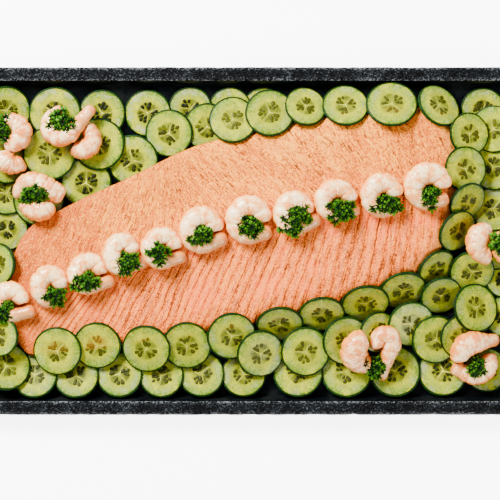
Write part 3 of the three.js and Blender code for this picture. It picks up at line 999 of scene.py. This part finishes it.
def salmonMaterial():
    look = salmonLook
    paint = Paint("poached salmon")
    place = paint.place()
    fibre = paint.vector("fibre")
    lower, clear, orangeAndEdgeShade = map(paint.value, ("lower", "clear", "orangeAndEdgeShade"))
    upper = 1 - lower
    broad = paint.noise(place, 30, 2, 0.55)
    medium = paint.noise(place, 120, 3, 0.6)
    grain = paint.noise(place, 420, 3, 0.75)
    specks = paint.noise(place, 1000, 2, 0.7)
    bands = paint.noise(paint.stretch(fibre, (12.0, 2.5, 0.0)), 1, 2, 0.6)
    strokes = paint.noise(paint.stretch(fibre, (55.0, 15.0, 0.0)), 1, 4, 0.8, 0.7)
    nicks = paint.noise(paint.stretch(fibre, (60.0, 7.0, 0.0)), 1, 2, 0.6, 0.8)
    threads = paint.noise(paint.stretch(fibre, (0.0, 7.0, 60.0)), 1, 3, 0.7)
    wave = paint.value("phase") + (paint.noise(place, 160, 2, 0.6) - 0.5) * 0.24
    off = paint.math("ABSOLUTE", paint.math("FRACT", wave) - 0.5)  # 0.5 in a groove
    groove = off.ease(0.42, 0.48) * clear * paint.value("line")
    groove = groove * (medium + threads * 0.3).ease(0.38, 0.6)
    nick = nicks.ease(0.57, 0.64) * upper * medium.ease(0.42, 0.56)
    along = strokes * upper * 1.7 + threads * lower * 1.3 + lower * 0.2 + 0.05
    along = along + (paint.value("own") - 0.5) * clear * 0.1
    flesh = grain * 0.9 + specks * 1.4 + along + broad * 0.3 - 1.66
    tones = [paint.ramp(flesh, list(zip(look["toneStops"], look[half]))) for half in ("upper", "lower")]
    color = paint.layered(
        paint.mix(lower, *tones),
        (paint.value("fat") * (medium * 0.8 + 0.2), "#f0a850"),
        (bands.ease(0.5, 0.36) * upper * 0.45, "#c85c04"),  # darker bands
        (bands.ease(0.54, 0.68) * upper * 0.3, "#fda83c"),  # paler bands
        (broad.ease(0.52, 0.66) * lower * 0.4, "#ec4a1a"),
        # deeper orange, and painted shade along the rounded edges
        (orangeAndEdgeShade * (medium * 1.2 + flesh.ease(0.66, 0.44) * 0.7), "#b84e00"),
        ((specks * 0.6 + grain * 0.4).ease(0.54, 0.62) * (orangeAndEdgeShade * 0.5 + 0.06), "#ffb860"),
        (off.ease(0.3, 0.0) * clear * 0.3, "#fb9a5c"),  # painted highlight on the ridges between two grooves
        # painted shade in the grooves between the flakes
        (groove, "#4a1404"),
        (nick * 0.8, "#5c1c02"),
        (paint.value("inset").ease(4.0, -1.0) * 0.5, "#8c3c0a"),  # painted shade on the fish's sides and foot
    )
    height = grain * 0.7 + specks * 0.4 + (strokes + threads) * 0.6 - groove * 1.3 - nick * 0.5
    return paint.done(
        Base_Color=color, Roughness=medium * 0.25 + 0.35, Normal=paint.bump(height, 1.0, 0.8),
        Specular_IOR_Level=0.08,
    )


makeSalmon()
print("salmon made")


# the cooking juice: shallow pools on the tray's floor, round the tail end

juicePools = {  # middle, half width and half depth
    "juice_tail": [(-222, -26), (17, 34)], "juice_corner": [(-208, -98), (18, 15)],
}
juiceProfile = [(0, 0.1), (0.98, 0.1), (1, 0.3), (0.95, 0.9), (0.8, 1.2), (0, 1.3)]  # share, height
juiceUneven = 0.18


def makeJuice():
    paint = Paint("cooking juice")
    material = paint.done(Base_Color="#9a5c06", Roughness=0.08, Alpha=0.85, Specular_IOR_Level=0.3)
    way = ringWays(48)
    for k, (name, (middle, half)) in enumerate(juicePools.items()):
        uneven = 1 + juiceUneven * cloud(np.column_stack([way * 2, np.full(len(way), 9 * k)]), 1, 23)
        rings = []
        for share, height in juiceProfile:
            flat = np.array(middle) + way * half * uneven[:, None] * share
            ring = np.column_stack([flat, np.full(len(way), trayLook["floor"] + height)]) * mm
            rings.append(ring if share else ring[:1])
        setPiece(name, newMesh(name, *loft(rings)), material, [])


makeJuice()
print("juice made")


# curly parsley

parsleyLook = {
    "leaf": 5.0, "spread": 0.2, "grown": 1.08, "rise": 5.0, "drop": 5.0, "ceiling": 54.6,
    "fingers": 3, "fan": 108, "finger": 12, "stalk": 0.22, "notch": 0.36, "ruffle": 0.16, "thickness": 0.08,
    "head": 3.6, "perHead": 38.0, "leaves": 7, "lean": 0.7, "leafSizes": (0.75, 1.1),
    "keptIn": 0.6, "stray": (0.85, 1.2), "restsOn": 70, "above": 2, "sunk": 1.5, "uneven": 1.0,
    "wander": 0.15, "flatness": 0.85, "opening": 0.4, "hang": 1.8,
    "tufts": {  # shrimp under it: right and back of the shrimp's middle, width, depth, turn
        "shrimp_1": [-9.7, -8.9, 20, 24, 0], "shrimp_2": [4.3, -9.3, 24, 19, 10],
        "shrimp_3": [-4.2, -8.7, 27, 18, -8], "shrimp_4": [2.1, -9.3, 24, 21, 40],
        "shrimp_5": [-5.7, -4.9, 21, 20, 0], "shrimp_6": [-2.9, -6.0, 25, 20, 25],
        "shrimp_7": [0.7, -6.7, 26, 22, 0], "shrimp_8": [-2.2, -4.8, 26, 32, -35],
        "shrimp_9": [2.1, -10, 29, 23, -15], "shrimp_10": [3.7, -8.7, 29, 20, 0],
        "shrimp_11": [0.9, -10.3, 21, 21, 0],
        "garnish_back_left_1": [-10.7, 4.3, 20, 24, 0], "garnish_back_2": [-6.0, 2.2, 25, 22, 0],
        "garnish_left_1": [-3.6, -6.3, 26, 19, 0], "garnish_front_1": [16.0, -15.3, 25, 18, 0],
        "garnish_front_right_1": [1.2, -19.3, 18, 20, 0], "garnish_right_1": [20.0, 1.0, 22, 24, 0],
    },
}


def leafShape():  # one curly leaflet, a thin hand of blunt fingers with its stalk end at the origin
    look = parsleyLook
    gaps = look["fingers"] - 1
    reach, angles = [look["stalk"]], [-90]
    for k in range(gaps + 1):
        middle = look["fan"] * (k / gaps - 0.5)
        tall = 1.0 - 0.0035 * abs(middle)
        reach += [tall * 0.94, tall, tall * 0.92]
        angles += [middle - look["finger"], middle, middle + look["finger"]]
        if k < gaps:
            reach.append(look["notch"])
            angles.append(middle + look["fan"] / gaps / 2)
    reach, angles = np.array(reach + [look["stalk"]]), np.radians(angles + [90])
    lift = look["ruffle"] * np.sin(angles * 5.2 + 1) * reach + 0.12 * reach ** 2
    top = np.column_stack([reach * np.cos(angles), reach * np.sin(angles), lift])
    top = np.vstack([np.zeros((1, 3)), top])
    size = len(top)
    faces = [(0, i, i + 1) for i in range(1, size - 1)]
    under = [tuple(i + size for i in face[::-1]) for face in faces]
    sides = [(a + size, b + size, b, a) for a, b in zip(range(size), [*range(1, size), 0])]
    points = np.vstack([top, top - (0, 0, look["thickness"])])
    tip = np.linalg.norm(points[:, :2], axis=1)
    return newMesh("leaflet", points, faces + under + sides, {"tip": tip})


def parsleyMaterial():
    paint = Paint("parsley")
    tip = paint.value("tip")
    fine = paint.noise(paint.place(), 700, 2, 0.6)
    # near black at the stalk end of each leaflet: painted shade between the leaves; the paler tips on some
    # leaves are painted highlights
    color = paint.layered(
        "#021000",
        ((tip + (fine - 0.5) * 0.4).ease(0.2, 0.9), "#124004"),
        (paint.value("shade") * tip.ease(0.4, 0.9), "#568a12"),
    )
    return paint.done(
        Base_Color=color, Roughness=fine * 0.2 + 0.3, Normal=paint.bump(fine, 0.3, 0.4),
        Specular_IOR_Level=0.04,
    )


class Standing:  # what the parsley rests on: the dressed shrimps, and the food below them
    def __init__(self):
        meshes = [piece.data for piece in bpy.data.objects if piece.name.endswith("_peeled")]
        self.tree = rayTree(([v.co for v in mesh.vertices], [face.vertices for face in mesh.polygons])
                            for mesh in meshes)

    def height(self, x, y):
        spot = Vector((x, y, 0.2))
        hit = self.tree.ray_cast(spot, down)[0]
        return hit.z if hit else spot.z - below.look(spot)[0]


def spiral(count, chance):  # evenly spread places in a disc of radius one
    for k in range(count):
        angle = k * math.pi * (3 - math.sqrt(5)) + chance.uniform(-0.3, 0.3)
        yield math.sqrt((k + 0.5) / count) * np.array([math.cos(angle), math.sin(angle)])


def tuftRows(node, tuft, standing, chance):  # a tuft is a few curly heads, and a head is a rosette of leaves
    look = parsleyLook
    right, back, width, depth, turn = tuft
    middle = middleOf(node) + (right, back)
    swing = turned(math.radians(turn))
    reach = np.array([width, depth]) / 2 * look["grown"] - look["head"] * look["keptIn"]
    heads = []
    for place in spiral(round(width * depth / look["perHead"]), chance):
        spot = middle + swing @ (reach * place * chance.uniform(*look["stray"]))
        heads.append((spot, np.linalg.norm(place), standing.height(*(spot * mm)) / mm))
    base = np.percentile([height for _, _, height in heads], look["restsOn"])
    rows = []
    for spot, share, height in heads:
        level = max(base + look["rise"] - look["drop"] * share ** 2, height + look["above"])
        level -= chance.uniform(0, look["sunk"])
        level = min(level, look["ceiling"] - chance.uniform(0, look["uneven"]))
        lean = look["lean"] * (spot - middle) / max(reach)
        for place in spiral(look["leaves"], chance):
            way = place + lean + chance.uniform(-look["wander"], look["wander"], 2)
            tilt = np.linalg.norm(way)
            outward = unit(np.array([*(way * look["flatness"]), 1.0]))
            heading = unit(np.array([*(way / tilt), -tilt]))
            foot = spot + place * look["head"] * look["opening"]
            start = np.array([*foot, level - look["hang"] * tilt ** 2])
            rows.append((start * mm, outward, heading, chance.uniform(*look["leafSizes"])))
    return rows


def makeParsley():
    look = parsleyLook
    standing = Standing()
    chance = np.random.default_rng(7)
    rows = []
    for node, tuft in look["tufts"].items():
        rows.extend(tuftRows(node, tuft, standing, chance))
    shade = chance.uniform(0, 1, len(rows))
    mesh = scattered("parsley", rows, leafShape(), parsleyMaterial(), look["leaf"] * mm,
                     look["spread"], 5, {"shade": shade})
    setPiece("parsley", mesh, None)
    print("leaflets:", len(rows), "with", len(mesh.polygons), "faces")


makeParsley()
print("parsley made")


# floor, light and camera

studio = {
    "floor": 4.0, "floorTone": "#fdfdfd", "floorGlow": 5.5, "worldLight": 0.4,
    "camera": 2.5, "across": 0.467, "middle": -0.0084, "sensor": 36.0,
    "lamps": {  # place, size, watts
        "key": [(-1.15, 1.3, 1.5), 0.9, 260],
        "fill": [(1.4, -1.2, 1.3), 1.1, 60],
    },
}


def makeStudio():
    half = studio["floor"] / 2
    corners = [(-half, -half, 0), (half, -half, 0), (half, half, 0), (-half, half, 0)]
    floor = newObject("floor", newMesh("floor", corners, [(0, 1, 2, 3)]))
    material = Paint("floor").done(
        Base_Color=studio["floorTone"], Roughness=0.9, Emission_Color=(1, 1, 1, 1),
        Emission_Strength=studio["floorGlow"],
    )
    floor.data.materials.append(material)
    floor.location.z = -0.0005
    world = bpy.data.worlds.new("studio")
    world.use_nodes = True
    sky = world.node_tree.nodes["Background"].inputs
    sky["Strength"].default_value = studio["worldLight"]
    sky["Color"].default_value = (1, 1, 1, 1)
    bpy.context.scene.world = world
    for name, (place, size, watts) in studio["lamps"].items():
        lamp = bpy.data.lights.new(name, "AREA")
        lamp.size = size
        lamp.energy = watts
        holder = newObject(name, lamp)
        holder.location = place
        holder.rotation_euler = (-Vector(place)).to_track_quat("-Z", "Y").to_euler()
    lens = bpy.data.cameras.new("camera")
    lens.sensor_width = studio["sensor"]
    lens.lens = studio["sensor"] * (studio["camera"] - cadHigh[2] * 0.4) / studio["across"]
    camera = newObject("camera", lens)
    camera.location = (0, studio["middle"], studio["camera"])
    bpy.context.scene.camera = camera


makeStudio()
